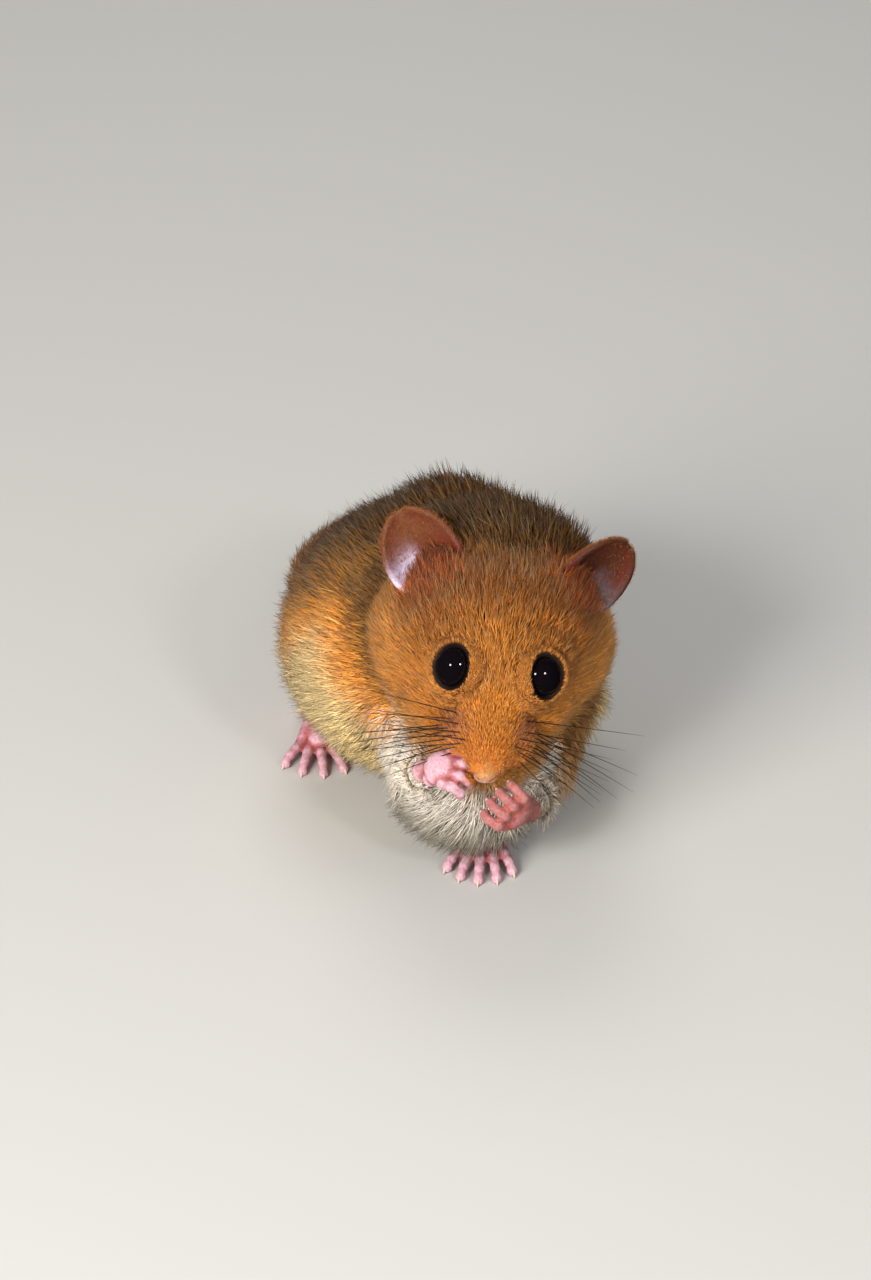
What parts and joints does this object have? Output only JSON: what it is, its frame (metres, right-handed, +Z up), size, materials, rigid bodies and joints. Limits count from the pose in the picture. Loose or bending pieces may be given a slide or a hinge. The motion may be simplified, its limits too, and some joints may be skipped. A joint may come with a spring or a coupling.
{
  "type": "hazel dormouse model",
  "caption": "Life-size still model of a hazel dormouse crouched and feeding, hands at its mouth, round ears, large eyes and a furred tail curled on the floor.",
  "frame": {"origin": "middle of the bounding box, on the floor the animal crouches on", "axes": "+Z up from the floor, -Y the way the body faces, +Y towards the rump, +X the animal's left side"},
  "size_m": [0.0372, 0.0696, 0.036],
  "materials": {
    "coat": "short dense golden-brown fur",
    "pale coat": "cream-white fur of throat and chest",
    "tail coat": "even furred tail, golden brown",
    "ear skin": "thin nearly bare skin with fine down",
    "eye": "wet black, mirror smooth",
    "bare skin": "pink bare skin of hands and feet"
  },
  "bodies": {
    "root": {"head": "coat", "neck": "coat", "chest": "pale coat", "belly": "coat", "rump": "coat", "tail_base": "tail coat", "tail_middle": "tail coat", "tail_end": "tail coat", "tail_tip": "tail coat", "eye_right": "eye", "ear_right": "ear skin", "hand_right": "bare skin", "foot_right": "bare skin", "upper_arm_right": "coat", "forearm_right": "coat", "thigh_right": "coat", "shank_right": "coat", "eye_left": "eye", "ear_left": "ear skin", "hand_left": "bare skin", "foot_left": "bare skin", "upper_arm_left": "coat", "forearm_left": "coat", "thigh_left": "coat", "shank_left": "coat"}
  },
  "joints": []
}
